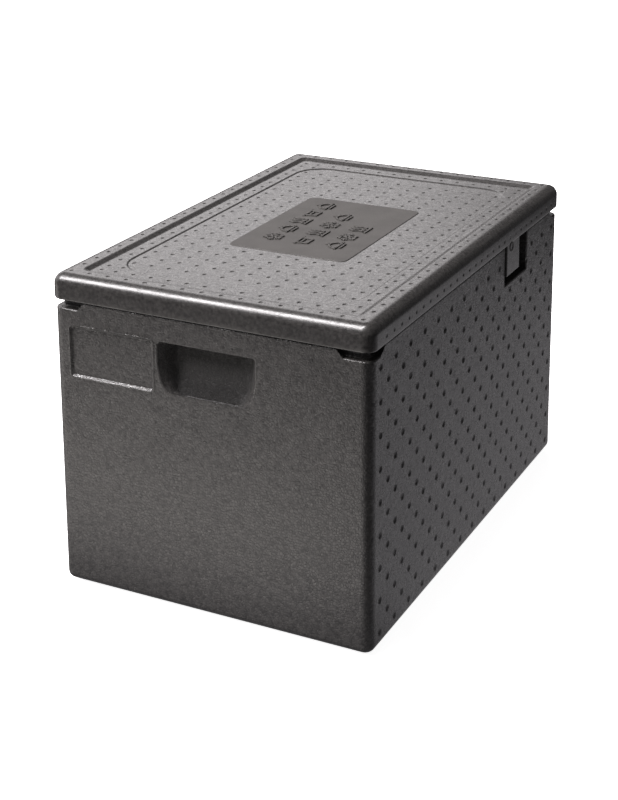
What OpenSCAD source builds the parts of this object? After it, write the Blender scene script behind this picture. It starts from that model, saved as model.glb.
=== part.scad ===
// Insulated food carrier moulded in expanded foam: an open body and a lift-off lid.
// Millimetres, +Z up, origin on the floor under the middle of the body. The label and the
// first grip pocket are on the -Y end; the long sides face +X and -X.

/* [Body] */
// Width of the body across X
body_w = 396; // [340:1:480]
// Length of the body along Y
body_l = 596; // [500:1:720]
// Height of the seam between the body and the lid
seam_z = 351; // [240:1:450]
// Thickness of the side and end walls
wall = 29; // [25:1:40]
// Thickness under the cavity, foot included
base_t = 33; // [24:1:50]
// Radius of the upright outer corners
body_r = 12; // [10:0.5:20]
// Radius of the lower outer edge
base_r = 9; // [3:0.5:10]
// Radius of the outer edge under the lid
seam_r = 1.5; // [0.5:0.5:3]
// Radius of the upright corners of the cavity
cavity_r = 28; // [20:1:45]
// Radius between the cavity's walls and its floor
cavity_floor_r = 14; // [4:1:18]

/* [Stacking] */
// Height of the foot under the body
foot_h = 3; // [1:0.5:3.5]
// Play between the foot and the recess of the lid below it, each side
foot_gap = 2; // [1:0.5:4]
// Flat rim of the lid outside the stacking recess
rim_w = 25; // [18:0.5:40]
// Depth of the stacking recess
recess_d = 3.5; // [2:0.5:5]
// Width of the slope down into the stacking recess
recess_slope = 8.5; // [3:0.5:12]
// Corner radius of the stacking recess
recess_r = 10; // [4:1:30]

/* [Seam] */
// Width of the shoulder that the lid's rim rests on
shoulder = 8; // [6:0.5:11]
// Height of the tongue above the shoulder
tongue_h = 12; // [6:1:16]
// Radius of the tongue's upright outer corners
tongue_r = 6; // [3:0.5:10]
// Play between the tongue and the lid
seat_gap = 1; // [0.5:0.25:2]

/* [Lid] */
// Height of the lid above the seam
lid_h = 30; // [26:1:45]
// How far the lid stands out past the body, each side
lid_over = 2; // [0:0.5:4]
// Radius of the lid's upright corners
lid_r = 14; // [12:0.5:22]
// Radius of the lid's upper edge
lid_edge_r = 10; // [3:0.5:11]
// Radius of the lid's lower edge
lid_low_r = 2; // [0.5:0.5:4]
// Depth of the plug below the lid's groove
plug_d = 18; // [8:1:30]
// Play between the plug and the cavity, each side
plug_gap = 1.5; // [0.5:0.25:4]

/* [Centre field] */
// Ledge between the stacking recess and the centre field, on the long sides
ledge_w = 15.5; // [8:0.5:30]
// The same ledge on the short ends
ledge_end_w = 20.5; // [8:0.5:40]
// Step down from the ledge to the centre field
field_d = 1.2; // [0.5:0.1:3]
// Width of the slope down to the centre field
field_slope = 2; // [1:0.5:5]
// Corner radius of the centre field
field_r = 40; // [12:1:60]
// Width of the smooth panel across X
panel_w = 156; // [80:1:220]
// Length of the smooth panel along Y
panel_l = 224; // [100:1:360]
// Corner radius of the panel
panel_r = 12; // [3:1:30]
// How far the panel stands above the centre field
panel_h = 0.8; // [0.4:0.1:1.5]

/* [Grip pockets] */
// Width of a grip pocket
grip_w = 120; // [90:1:140]
// Height of a grip pocket
grip_h = 58; // [50:1:75]
// Upright stretch of the pocket's sides
grip_side = 18; // [8:1:25]
// How far the pocket's sides curve in towards its bottom
grip_in = 15; // [6:1:20]
// Depth of the pocket at its top
grip_d = 20; // [10:1:21]
// Depth of the pocket near its bottom
grip_low_d = 9; // [4:1:12]
// How much narrower the pocket's back is, each side
grip_flare = 20; // [5:1:24]
// Height of the ramp at the pocket's bottom
grip_ramp = 9; // [3:1:16]
// From the seam down to the pockets and the labels
grip_drop = 30; // [22:1:57]

/* [Labels] */
// Width of a label recess
label_w = 107; // [60:1:108]
// Height of a label recess
label_h = 58; // [30:1:90]
// Depth of a label recess
label_d = 1.5; // [0.5:0.1:3]
// From the body's upright corner to the label recess
label_in = 22.5; // [21:0.5:26]

/* [Corner notches] */
// Depth of the finger notch at each corner
notch_d = 10; // [5:0.5:16]
// Level floor of the notch on the short ends
notch_end_floor = 33; // [18:1:45]
// Level floor of the notch on the long sides
notch_side_floor = 23; // [18:1:45]
// Length of the notch's slope up to the seam, on the short ends
notch_end_slope = 9; // [4:1:20]
// Length of the notch's slope up to the seam, on the long sides
notch_side_slope = 15; // [4:1:20]

/* [Lid tabs] */
// Distance from the middle of a long side to its tab slot
slot_from = 97; // [60:1:120]
// Length of a tab slot
slot_l = 80; // [60:1:100]
// Depth of a tab slot into the wall
slot_d = 16; // [13:1:19]
// Height of a tab slot below the seam
slot_h = 52; // [30:1:70]
// Length of a tab
tab_l = 45; // [25:1:50]
// Height of a tab below the seam
tab_h = 39; // [20:1:48]
// Play between a tab and the side of its slot
tab_gap = 1.5; // [0.5:0.25:3]

/* [Hidden] */

// cuts run this far past the faces that they open
past = 2;
// facets of a corner on the rounded blocks
corner_fn = 32;
// facets of plain round corners
plate_fn = 64;

// heights
lid_top = seam_z + lid_h;
tongue_top = seam_z + tongue_h;
groove_z = tongue_top + seat_gap;
plug_z = groove_z - plug_d;
ledge_z = lid_top - recess_d;
field_z = ledge_z - field_d;

// plan sizes
cavity_w = body_w - 2 * wall;
cavity_l = body_l - 2 * wall;
tongue_w = body_w - 2 * shoulder;
tongue_l = body_l - 2 * shoulder;
lid_w = body_w + 2 * lid_over;
lid_l = body_l + 2 * lid_over;
recess_w = lid_w - 2 * rim_w;
recess_l = lid_l - 2 * rim_w;
field_w = recess_w - 2 * (recess_slope + ledge_w);
field_l = recess_l - 2 * (recess_slope + ledge_end_w);
foot_w = recess_w - 2 * (recess_slope + foot_gap);
foot_l = recess_l - 2 * (recess_slope + foot_gap);
foot_r = max(recess_r - recess_slope, 1) + 2;
tab_t = shoulder + lid_over - seat_gap;
foam = [0.17, 0.165, 0.165];

// Upright round post with a rounded lower and upper rim.
module post(r, h, low, high) {
    steps = corner_fn / 4;
    rotate_extrude($fn = corner_fn) polygon(concat(
        [[0, 0]],
        [for (i = [0:steps]) [r - low + low * sin(90 * i / steps), low - low * cos(90 * i / steps)]],
        [for (i = [0:steps]) [r - high + high * cos(90 * i / steps), h - high + high * sin(90 * i / steps)]],
        [[0, h]]
    ));
}

// Block with round upright corners and rounded lower and upper edges, standing on z = 0.
module block(w, l, h, r, low, high) {
    hull() for (sx = [-1, 1], sy = [-1, 1])
        translate([sx * (w / 2 - r), sy * (l / 2 - r), 0]) post(r, h, low, high);
}

module rounded_rectangle(w, l, r) {
    square([w - 2 * r, l], center = true);
    square([w, l - 2 * r], center = true);
    for (sx = [-1, 1], sy = [-1, 1])
        translate([sx * (w / 2 - r), sy * (l / 2 - r)]) circle(r, $fn = plate_fn);
}

// Flat plate with round corners, from z = z0 to z = z1.
module plate(w, l, r, z0, z1) {
    translate([0, 0, z0]) linear_extrude(z1 - z0) rounded_rectangle(w, l, r);
}

// Flat-bottomed dish that opens upwards at z = top, with sloping sides.
module dish(w, l, r, depth, slope, top) {
    sliver = 0.01;
    rise = past * slope / depth;
    hull() {
        plate(w - 2 * slope, l - 2 * slope, max(r - slope, 1), top - depth, top - depth + sliver);
        plate(w + 2 * rise, l + 2 * rise, r + rise, top + past, top + past + sliver);
    }
}

// Both of a pair of features that are half a turn apart about the Z axis.
module half_turn_pair() {
    children();
    rotate([0, 0, 180]) children();
}

// Outline of a grip pocket: upright sides, then arcs that curve in to a flat bottom. Its top is on y = 0.
module grip_outline(w, h) {
    steps = 8;
    low = h - grip_side;
    r = (grip_in * grip_in + low * low) / (2 * grip_in);
    arc = [for (i = [0:steps]) let (a = asin(low / r) * i / steps)
        [w / 2 - r + r * cos(a), -grip_side - r * sin(a)]];
    polygon(concat(
        [[-w / 2, 0], [w / 2, 0]],
        arc,
        [for (i = [0:steps]) [-arc[steps - i][0], arc[steps - i][1]]]
    ));
}

// Space of a grip pocket in the -Y end, deep at its top and running out at its bottom.
module grip_space() {
    sliver = 0.01;
    back_w = grip_w - 2 * grip_flare;
    back_h = grip_h - grip_ramp;
    lean = atan((grip_d - grip_low_d) / back_h);
    translate([0, -body_l / 2, seam_z - grip_drop]) hull() {
        translate([0, -past, 0]) rotate([90, 0, 0]) linear_extrude(sliver) grip_outline(grip_w, grip_h);
        rotate([90, 0, 0]) linear_extrude(sliver) grip_outline(grip_w, grip_h);
        translate([0, grip_d, 0]) rotate([90 + lean, 0, 0])
            linear_extrude(sliver) grip_outline(back_w, back_h);
    }
}

module label_space() {
    label_edge_r = 3;
    translate([
        -body_w / 2 + label_in + label_w / 2,
        -body_l / 2 + label_d,
        seam_z - grip_drop - label_h / 2
    ]) rotate([90, 0, 0]) linear_extrude(label_d + past)
        rounded_rectangle(label_w, label_h, label_edge_r);
}

// Profile of a corner notch seen square on, with the body's corner at x = 0 and the seam at y = 0.
module notch_profile(floor_l, slope_l) {
    rise = past * slope_l / notch_d;
    polygon([
        [past, -notch_d],
        [-floor_l, -notch_d],
        [-floor_l - slope_l - rise, past],
        [past, past]
    ]);
}

// Notch around the +X, -Y corner of the shoulder.
module notch_space() {
    translate([body_w / 2, -body_l / 2 + shoulder + tongue_r, seam_z]) rotate([90, 0, 0])
        linear_extrude(shoulder + tongue_r + past) notch_profile(notch_end_floor, notch_end_slope);
    translate([body_w / 2 - shoulder - tongue_r, -body_l / 2, seam_z]) rotate([90, 0, 90])
        mirror([1, 0, 0])
            linear_extrude(shoulder + tongue_r + past) notch_profile(notch_side_floor, notch_side_slope);
}

module notches() {
    difference() {
        for (flip_x = [0, 1], flip_y = [0, 1])
            mirror([flip_x, 0, 0]) mirror([0, flip_y, 0]) notch_space();
        plate(tongue_w, tongue_l, tongue_r, seam_z - notch_d - past, tongue_top + past);
    }
}

// Slot in the +X side that a tab of the lid hangs in, open at its top.
module slot_space() {
    translate([body_w / 2 - slot_d, slot_from, seam_z - slot_h])
        cube([slot_d + past, slot_l, slot_h + tongue_h + past]);
}

module body() {
    color(foam) difference() {
        union() {
            translate([0, 0, foot_h])
                block(body_w, body_l, seam_z - foot_h, body_r, base_r, seam_r);
            plate(foot_w, foot_l, foot_r, 0, base_t / 2);
            plate(tongue_w, tongue_l, tongue_r, seam_z - notch_d, tongue_top);
        }
        translate([0, 0, base_t])
            block(cavity_w, cavity_l, tongue_top + past - base_t, cavity_r, cavity_floor_r, seam_r);
        notches();
        half_turn_pair() {
            grip_space();
            label_space();
            slot_space();
        }
    }
}

// Tab that hangs from the +X side of the lid, flush with the lid's outer face.
module tab() {
    root = lid_low_r + past;
    translate([lid_w / 2 - tab_t, slot_from + tab_gap, seam_z - tab_h])
        cube([tab_t, tab_l, tab_h + root]);
}

module lid() {
    color(foam) {
        difference() {
            union() {
                translate([0, 0, seam_z]) block(lid_w, lid_l, lid_h, lid_r, lid_low_r, lid_edge_r);
                half_turn_pair() tab();
            }
            plate(
                tongue_w + 2 * seat_gap, tongue_l + 2 * seat_gap, tongue_r + seat_gap,
                seam_z - tab_h - past, groove_z
            );
            dish(recess_w, recess_l, recess_r, recess_d, recess_slope, lid_top);
            dish(field_w, field_l, field_r, field_d, field_slope, ledge_z);
        }
        plate(
            cavity_w - 2 * plug_gap, cavity_l - 2 * plug_gap, cavity_r - plug_gap,
            plug_z, groove_z + seat_gap
        );
        plate(panel_w, panel_l, panel_r, field_z - seat_gap, field_z + panel_h);
    }
}

body();
lid();
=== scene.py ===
"""Insulated food carrier: its moulded foam body and lid in full detail, and their stage."""

import math

import bmesh
import bpy
from bpy.props import FloatProperty, FloatVectorProperty, IntProperty, PointerProperty
from mathutils import Matrix, Vector


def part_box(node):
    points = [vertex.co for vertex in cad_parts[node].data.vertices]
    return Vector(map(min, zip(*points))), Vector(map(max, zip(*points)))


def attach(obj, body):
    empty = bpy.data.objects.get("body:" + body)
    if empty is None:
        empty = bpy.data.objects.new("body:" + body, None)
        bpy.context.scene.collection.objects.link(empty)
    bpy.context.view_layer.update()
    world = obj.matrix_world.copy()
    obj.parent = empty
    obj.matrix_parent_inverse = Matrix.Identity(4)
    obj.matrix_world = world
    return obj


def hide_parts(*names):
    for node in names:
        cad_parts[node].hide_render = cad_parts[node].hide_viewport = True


bl_info = {
    "name": "Insulated Food Carrier",
    "version": (1, 0, 0),
    "blender": (4, 5, 0),
    "location": "3D View > Sidebar > Carrier",
    "description": "Builds a moulded foam food carrier with a lift-off lid, and its stage",
    "category": "Object",
}

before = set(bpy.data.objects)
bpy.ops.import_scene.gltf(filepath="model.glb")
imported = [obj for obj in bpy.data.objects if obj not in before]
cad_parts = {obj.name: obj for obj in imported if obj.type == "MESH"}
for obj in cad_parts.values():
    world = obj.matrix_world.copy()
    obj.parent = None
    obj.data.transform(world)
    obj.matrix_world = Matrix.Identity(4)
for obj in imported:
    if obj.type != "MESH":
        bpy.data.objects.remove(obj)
BODY_LOW, BODY_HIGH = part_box("body")
LID_LOW, LID_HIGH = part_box("lid")
MM = 0.001
# How far from a plane a point on it may lie
FLAT = 0.05 * MM
CORNER_STEPS = 8
DENT_SIDES = 12
# From the lid's edges to the dents on its flat rim and on its ledge, on the sides and on the ends
RIM_DENT_IN = 18.5 * MM
RIM_DENT_IN_ENDS = 18 * MM
RIM_DENT_PITCH = 24.4 * MM
LEDGE_DENT_IN = 41.5 * MM
LEDGE_DENT_IN_ENDS = 44 * MM
BAND_DENT_PITCH = 19.6 * MM
# Half the size of a pictogram, and the spacing and shift of their rows on the panel
MARK_SIZE = 13 * MM
MARK_ROW = 41 * MM
MARK_PLACE = 35 * MM
MARK_SHIFT = 8 * MM
# Camera at the viewing angle: its place, its turn and drop in degrees, and its lens
CAMERA_PLACE = (0.85446, -1.72634, 0.97765)
CAMERA_TURN = 25.650
CAMERA_DROP = 13.918
CAMERA_LENS = 73.625
CAMERA_SHIFT = (-0.0460, -0.3375)


def length(name, default, description):
    """Property for a length in metres."""
    return FloatProperty(
        name=name, default=default, description=description, subtype="DISTANCE", unit="LENGTH", precision=4
    )


def share(name, default, description):
    """Property for a plain number."""
    return FloatProperty(name=name, default=default, description=description)


def colour(name, default, description):
    """Property for a linear colour."""
    return FloatVectorProperty(
        name=name, default=default, description=description, subtype="COLOR", size=3, min=0.0, max=1.0
    )


class CarrierBodySizes(bpy.types.PropertyGroup):
    """Sizes of the carrier's body."""

    wall: length("Wall", 0.029, "Thickness of the side and end walls")
    floor: length("Floor", 0.033, "Height of the cavity's floor above the ground")
    corner: length("Corner", 0.012, "Radius of the upright outer corners")
    base_round: length("Base edge", 0.009, "Radius of the lower outer edge")
    rim_round: length("Rim edge", 0.0030, "Radius of the outer edge under the lid")
    foot: length("Foot", 0.003, "Height of the foot under the body")
    foot_in: length("Foot inset", 0.0335, "From the outer wall to the foot")
    shoulder: length("Shoulder", 0.008, "Width of the shoulder that the lid's rim rests on")
    tongue: length("Tongue", 0.012, "Height of the tongue above the shoulder")
    tongue_corner: length("Tongue corner", 0.006, "Radius of the tongue's upright corners")
    cavity_corner: length("Cavity corner", 0.028, "Radius of the cavity's upright corners")
    cavity_round: length("Cavity floor edge", 0.014, "Radius between the cavity's walls and its floor")
    notch: length("Notch depth", 0.010, "Depth of the finger notch at each corner")
    notch_end: length("Notch on the ends", 0.033, "Level floor of the notch on the short ends")
    notch_side: length("Notch on the sides", 0.023, "Level floor of the notch on the long sides")
    notch_end_slope: length("End slope", 0.009, "Length of the notch's slope on the short ends")
    notch_side_slope: length("Side slope", 0.015, "Length of the notch's slope on the long sides")
    slot_from: length("Slot place", 0.097, "From the middle of a long side to its tab slot")
    slot_length: length("Slot length", 0.080, "Length of a tab slot")
    slot_depth: length("Slot depth", 0.016, "Depth of a tab slot into the wall")
    slot_drop: length("Slot height", 0.052, "Height of a tab slot below the seam")
    lip: length("Lip", 0.0018, "Radius of the lips around the slots, notches and pockets")


class CarrierEndSizes(bpy.types.PropertyGroup):
    """Sizes of the grip pocket and the label recess in each end."""

    drop: length("Drop", 0.030, "From the seam down to the pocket and the label recess")
    grip_width: length("Grip width", 0.1206, "Width of the grip pocket")
    grip_height: length("Grip height", 0.0585, "Height of the grip pocket")
    grip_upright: length("Grip sides", 0.019, "Upright stretch of the pocket's sides")
    grip_tuck: length("Grip tuck", 0.016, "How far the pocket's sides curve in")
    grip_corner: length("Grip corner", 0.0035, "Radius of the pocket's upper corners")
    grip_depth: length("Grip depth", 0.0225, "Depth of the pocket at its top")
    label_width: length("Label width", 0.107, "Width of the label recess")
    label_height: length("Label height", 0.0586, "Height of the label recess")
    label_in: length("Label place", 0.023, "From the corner of the body to the label recess")
    label_depth: length("Label depth", 0.0022, "Depth of the label recess")
    label_corner: length("Label corner", 0.003, "Radius of the label recess's corners")


class CarrierDentSizes(bpy.types.PropertyGroup):
    """Sizes of the round dents that cover the long sides and the lid."""

    side_radius: length("Side dent", 0.0050, "Radius of a dent in the long sides")
    side_depth: length("Side dent depth", 0.0018, "Depth of a dent in the long sides")
    side_pitch: length("Side spacing", 0.0392, "From one dent to the next along a row")
    side_row: length("Side rows", 0.01925, "From one row of dents to the next")
    side_first: length("Top row", 0.0223, "From the seam down to the top row")
    side_rows: IntProperty(name="Row count", default=17, min=1, description="Rows of dents on a long side")
    lid_radius: length("Lid dent", 0.0031, "Radius of a dent in the lid")
    lid_depth: length("Lid dent depth", 0.00085, "Depth of a dent in the lid")
    lid_across: length("Lid columns", 0.0233, "From one column of dents to the next")
    lid_along: length("Lid rows", 0.0229, "From one row of dents to the next")
    band_radius: length("Band dent", 0.0028, "Radius of a dent in the lid's band")
    band_depth: length("Band dent depth", 0.0007, "Depth of a dent in the lid's band")


class CarrierLidSizes(bpy.types.PropertyGroup):
    """Sizes of the carrier's lid."""

    thick: length("Height", 0.030, "Height of the lid above the seam")
    corner: length("Corner", 0.014, "Radius of the lid's upright corners")
    top_round: length("Upper edge", 0.013, "Radius of the lid's upper edge")
    low_round: length("Lower edge", 0.002, "Radius of the lid's lower edge")
    seat: length("Seat play", 0.001, "Play between the lid and the tongue")
    plug: length("Plug", 0.018, "Depth of the plug below the lid's groove")
    plug_play: length("Plug play", 0.0015, "Play between the plug and the cavity")
    rim: length("Rim", 0.025, "Flat rim outside the stacking recess")
    recess: length("Recess depth", 0.0035, "Depth of the stacking recess")
    recess_slope: length("Recess slope", 0.0080, "Width of the slope into the stacking recess")
    recess_corner: length("Recess corner", 0.008, "Corner radius of the stacking recess")
    field_side: length("Field side", 0.049, "From the lid's long edge to the centre field")
    field_end: length("Field end", 0.054, "From the lid's short edge to the centre field")
    field_drop: length("Field depth", 0.0013, "Step down to the centre field")
    field_slope: length("Field slope", 0.0028, "Width of the slope to the centre field")
    field_corner: length("Field corner", 0.040, "Corner radius of the centre field")
    panel_width: length("Panel width", 0.156, "Width of the smooth panel")
    panel_length: length("Panel length", 0.224, "Length of the smooth panel")
    panel_corner: length("Panel corner", 0.010, "Corner radius of the smooth panel")
    panel_rise: length("Panel rise", 0.0008, "Height of the panel above the centre field")
    mark_rise: length("Mark rise", 0.0016, "Height of the pictograms above the panel")
    mark_line: length("Mark line", 0.0030, "Width of the pictograms' lines")
    mark_place: length("Ring place", 0.0155, "From the edge of a tab to the ring on it")
    tab_length: length("Tab length", 0.045, "Length of a hanging tab")
    tab_drop: length("Tab height", 0.040, "Height of a hanging tab below the seam")
    tab_play: length("Tab play", 0.0015, "Play between a tab and the side of its slot")


class CarrierFoam(bpy.types.PropertyGroup):
    """Colours and grain of the moulded foam."""

    dark: colour("Dark bead", (0.0215, 0.0205, 0.0200), "Colour of the darkest beads")
    light: colour("Light bead", (0.044, 0.0420, 0.0405), "Colour of the lightest beads")
    # The seam colour is also the painted shade inside the grip pockets.
    seam: colour("Bead seam", (0.009, 0.0085, 0.0082), "Colour of the seams between the beads")
    worn: colour("Rubbed edge", (0.085, 0.082, 0.078), "Colour of the rubbed edges")
    panel: colour("Panel", (0.043, 0.0405, 0.038), "Colour of the smooth panel")
    bead: length("Bead", 0.0034, "Size of a foam bead")
    roughness: share("Roughness", 0.20, "Roughness of the moulded skin")
    tilt: share("Bead tilt", 0.10, "How unevenly the beads face")


class CarrierStage(bpy.types.PropertyGroup):
    """Light and floor around the carrier."""

    floor: colour("Floor", (0.90, 0.90, 0.90), "Colour of the floor")
    room: share("Room light", 0.10, "Light from the whole room")
    back: share("Back light", 2.55, "Light from the low panel behind, on the left")
    top: share("Top light", 38.0, "Light from the soft box overhead")
    left: share("Left light", 1.5, "Light from the left")
    front: share("Front light", 0.42, "Light from the front, on the left")
    near: share("Near floor", 2.2, "Light off the floor in front")
    far: share("Far floor", 0.56, "Light off the rest of the floor")


def bevel(bm, geom, offset, segments, affect="EDGES", **more):
    """Rounded bevel along edges, or at vertices."""
    return bmesh.ops.bevel(
        bm, geom=geom, offset=offset, segments=segments, affect=affect, profile=0.5, material=-1, **more
    )


def outline(bm, width, deep, radius, height, steps=CORNER_STEPS):
    """Edges of a rounded rectangle that lies flat at a height."""
    corners = bmesh.ops.create_grid(bm, x_segments=1, y_segments=1, size=0.5)["verts"]
    bmesh.ops.scale(bm, vec=(width, deep, 1.0), verts=corners)
    bmesh.ops.translate(bm, vec=(0.0, 0.0, height), verts=corners)
    made = bevel(bm, corners, radius, steps, "VERTICES")["verts"]
    edges = list({edge for vert in made for edge in vert.link_edges})
    bmesh.ops.delete(bm, geom=[edges[0].link_faces[0]], context="FACES_ONLY")
    return edges


def bridge(bm, first, second):
    """Faces between two loops of edges."""
    return bmesh.ops.bridge_loops(bm, edges=first + second)["faces"]


def cap(bm, edges):
    """One flat face inside a loop of edges."""
    return bmesh.ops.edgeloop_fill(bm, edges=edges)["faces"]


def skin(bm, loops, closed=False):
    """Faces through a row of loops, which stand far apart while they are joined, so none can twist."""
    for index, loop in enumerate(loops):
        verts = list({vert for edge in loop for vert in edge.verts})
        bmesh.ops.translate(bm, vec=(0.0, 0.0, float(index)), verts=verts)
    for below, above in zip(loops, loops[1:]):
        bridge(bm, below, above)
    if closed:
        bridge(bm, loops[-1], loops[0])
    for index, loop in enumerate(loops):
        verts = list({vert for edge in loop for vert in edge.verts})
        bmesh.ops.translate(bm, vec=(0.0, 0.0, -float(index)), verts=verts)


def tower(bm, levels, closed=False):
    """Skin through rounded rectangles, each (width, length, corner radius, height). Returns their loops."""
    loops = [outline(bm, *level) for level in levels]
    skin(bm, loops, closed)
    return loops


def rounded(block, height, radius, grow, rise, from_flat=False, steps=4):
    """Levels of a rounded edge between the walls of a block, (width, length, corner), and a flat.

    The flat lies at the height. grow is 1 where the outline widens towards the flat and -1 where it
    narrows, and rise is 1 where the walls stand above the flat and -1 where they hang below it.
    """
    width, deep, corner = block
    levels = []
    for step in range(steps + 1):
        angle = math.pi / 2 * step / steps
        shift = grow * radius * (1 - math.cos(angle))
        drop = rise * radius * (1 - math.sin(angle))
        level = (width + 2 * shift, deep + 2 * shift, max(corner + shift, 0.3 * MM), height + drop)
        levels.append(level)
    return levels[::-1] if from_flat else levels


def stray(bm, known):
    """Vertices made since a set of known ones was taken."""
    return [vert for vert in bm.verts if vert not in known]


def only(kind, items):
    """Those of the items that are of one kind."""
    return [item for item in items if isinstance(item, kind)]


def dent(bm, radius, depth, sides=DENT_SIDES):
    """Round dent with a soft rim, open at its rim, in the plane z = 0. Returns its rim's edges."""
    rim = bmesh.ops.create_circle(bm, cap_ends=False, segments=sides, radius=radius)["verts"]
    rim_edges = list({edge for vert in rim for edge in vert.link_edges})
    ring = rim_edges
    reach = 1.0
    sunk = 0.0
    for share_out, share_down in ((0.84, 0.18), (0.62, 0.62), (0.34, 0.92)):
        made = bmesh.ops.extrude_edge_only(bm, edges=ring)["geom"]
        verts = only(bmesh.types.BMVert, made)
        ring = [edge for edge in only(bmesh.types.BMEdge, made) if all(v in verts for v in edge.verts)]
        bmesh.ops.scale(bm, vec=(share_out / reach, share_out / reach, 1.0), verts=verts)
        bmesh.ops.translate(bm, vec=(0.0, 0.0, -depth * (share_down - sunk)), verts=verts)
        reach, sunk = share_out, share_down
    middle = cap(bm, ring)
    poked = bmesh.ops.poke(bm, faces=middle)["verts"]
    bmesh.ops.translate(bm, vec=(0.0, 0.0, -depth * (1.0 - sunk)), verts=poked)
    return rim_edges


def dents(bm, centres, radius, depth, place):
    """Copies of a dent at each centre, given in a plane that place carries into the object."""
    known = set(bm.verts)
    rim = dent(bm, radius, depth)
    verts = stray(bm, known)
    bmesh.ops.transform(bm, matrix=place, verts=verts)
    parts = verts + list({edge for vert in verts for edge in vert.link_edges})
    parts += list({face for vert in verts for face in vert.link_faces})
    turn = place.to_3x3()
    rims = []
    for across, along in centres:
        made = bmesh.ops.duplicate(bm, geom=parts)
        copied = only(bmesh.types.BMVert, made["geom"])
        bmesh.ops.translate(bm, vec=turn @ Vector((across, along, 0.0)), verts=copied)
        rims += [made["edge_map"][edge] for edge in rim]
    bmesh.ops.delete(bm, geom=verts, context="VERTS")
    return rims


def fill(bm, edges, normal):
    """Flat triangles between an outline and the outlines inside it."""
    bmesh.ops.triangle_fill(bm, edges=edges, use_beauty=True, use_dissolve=False, normal=normal)


def flat_side(bm, axis, sign, reach):
    """The large flat face of a wall, with its normal along an axis."""
    faces = [
        face
        for face in bm.faces
        if all(abs(vert.co[axis] - sign * reach) < FLAT for vert in face.verts)
    ]
    return max(faces, key=lambda face: face.calc_area())


def pierce(bm, face, holes):
    """Replaces a flat face by one with holes in it."""
    edges = list(face.edges)
    normal = face.normal.copy()
    bmesh.ops.delete(bm, geom=[face], context="FACES_ONLY")
    fill(bm, edges + holes, normal)


def wall_place(turn, reach, height):
    """Puts a drawing whose x is to the right, y is up and z is outwards on the wall at an angle."""
    upright = Matrix.Rotation(math.pi / 2, 4, "X")
    return Matrix.Rotation(turn, 4, "Z") @ Matrix.Translation((0.0, -reach, height)) @ upright


def label_recess(bm, ends, place):
    """Shallow recess for a label, with a sloping edge. Returns its outer edges."""
    known = set(bm.verts)
    slope = ends.label_depth
    size = (ends.label_width, ends.label_height, ends.label_corner)
    levels = []
    profile = (
        (1.45, 0.0),
        (1.1, -0.20),
        (0.8, -0.28),
        (0.55, -0.18),
        (0.25, 0.15),
        (-0.25, 0.72),
        (-0.6, 0.95),
        (-0.9, 1.0),
    )
    for grow, sunk in profile:
        shift = grow * slope
        levels.append((size[0] + 2 * shift, size[1] + 2 * shift, size[2] + shift, -sunk * slope))
    loops = tower(bm, levels)
    cap(bm, loops[-1])
    bmesh.ops.transform(bm, matrix=place, verts=stray(bm, known))
    return loops[0]


def grip_outline(bm, half, height, ends, top=0.0):
    """Edges and vertices of a pocket's outline: upright sides that curve in to a level bottom."""
    upright = max(ends.grip_upright - top, 0.2 * MM)
    tuck = min(ends.grip_tuck, 0.6 * half)
    low = max(height - top - upright, 1.0 * MM)
    corners = bmesh.ops.create_grid(bm, x_segments=1, y_segments=1, size=0.5)["verts"]
    bmesh.ops.scale(bm, vec=(2 * half, upright + tuck, 1.0), verts=corners)
    bmesh.ops.translate(bm, vec=(0.0, -(upright + tuck) / 2, 0.0), verts=corners)
    upper = [vert for vert in corners if vert.co.y > -upright / 2]
    lower = [vert for vert in corners if vert not in upper]
    known = set(bm.verts) - set(corners)
    bevel(bm, lower, tuck * 0.999, 9, "VERTICES")
    bevel(bm, upper, min(ends.grip_corner, 0.45 * upright, 0.45 * half), 4, "VERTICES")
    verts = stray(bm, known)
    for vert in verts:
        if vert.co.y < -upright:
            vert.co.y = -upright + (vert.co.y + upright) * low / tuck
    bmesh.ops.translate(bm, vec=(0.0, -top, 0.0), verts=verts)
    edges = list({edge for vert in verts for edge in vert.link_edges})
    bmesh.ops.delete(bm, geom=[edges[0].link_faces[0]], context="FACES_ONLY")
    return edges, verts


def lip_share(vert, height):
    """How much of the lip is left at a height in the pocket: all at its top, hardly any at its bottom."""
    return 1 - 0.85 * min(max(-vert.co.y / height, 0.0), 1.0) ** 3


def grip_pocket(bm, ends, lip, place):
    """Grip pocket, deepest under its upper edge, with a floor that dips behind its lower edge."""
    known = set(bm.verts)
    half = ends.grip_width / 2
    height = ends.grip_height
    loops = []
    for share_out, share_up in ((1.8, 0.0), (1.4, 0.14), (1.0, 0.1), (0.45, -0.25), (0.12, -0.7)):
        grow = lip * share_out
        edges, verts = grip_outline(bm, half + grow, height + grow, ends, -grow)
        for vert in verts:
            vert.co.z = lip * share_up * lip_share(vert, height)
        loops.append(edges)
    inner = (
        (0.0, 0.0, 0.0, 0.0),
        (4.0, 0.3, -1.6, 0.26),
        (7.5, 0.6, -3.2, 0.51),
        (10.5, 0.9, -4.6, 0.74),
        (12.8, 1.4, -5.2, 0.90),
        (15.5, 2.6, -4.6, 0.98),
        (22.0, 6.0, 0.0, 1.0),
        (33.0, 11.0, 15.0, 1.0),
        (43.0, 16.0, 22.0, 1.0),
        (52.0, 22.0, 28.0, 1.0),
    )
    for side_in, top_in, low_in, share_down in inner:
        edges, verts = grip_outline(bm, half - side_in * MM, height - low_in * MM, ends, top_in * MM)
        for vert in verts:
            fall = min(max(-vert.co.y / height, 0.0), 1.0)
            scoop = ends.grip_depth * (1 - 0.30 * fall)
            vert.co.z = -lip * lip_share(vert, height) - max(scoop - lip, 0.0) * share_down
        loops.append(edges)
    skin(bm, loops)
    cap(bm, loops[-1])
    bmesh.ops.transform(bm, matrix=place, verts=stray(bm, known))
    return loops[0]


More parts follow.
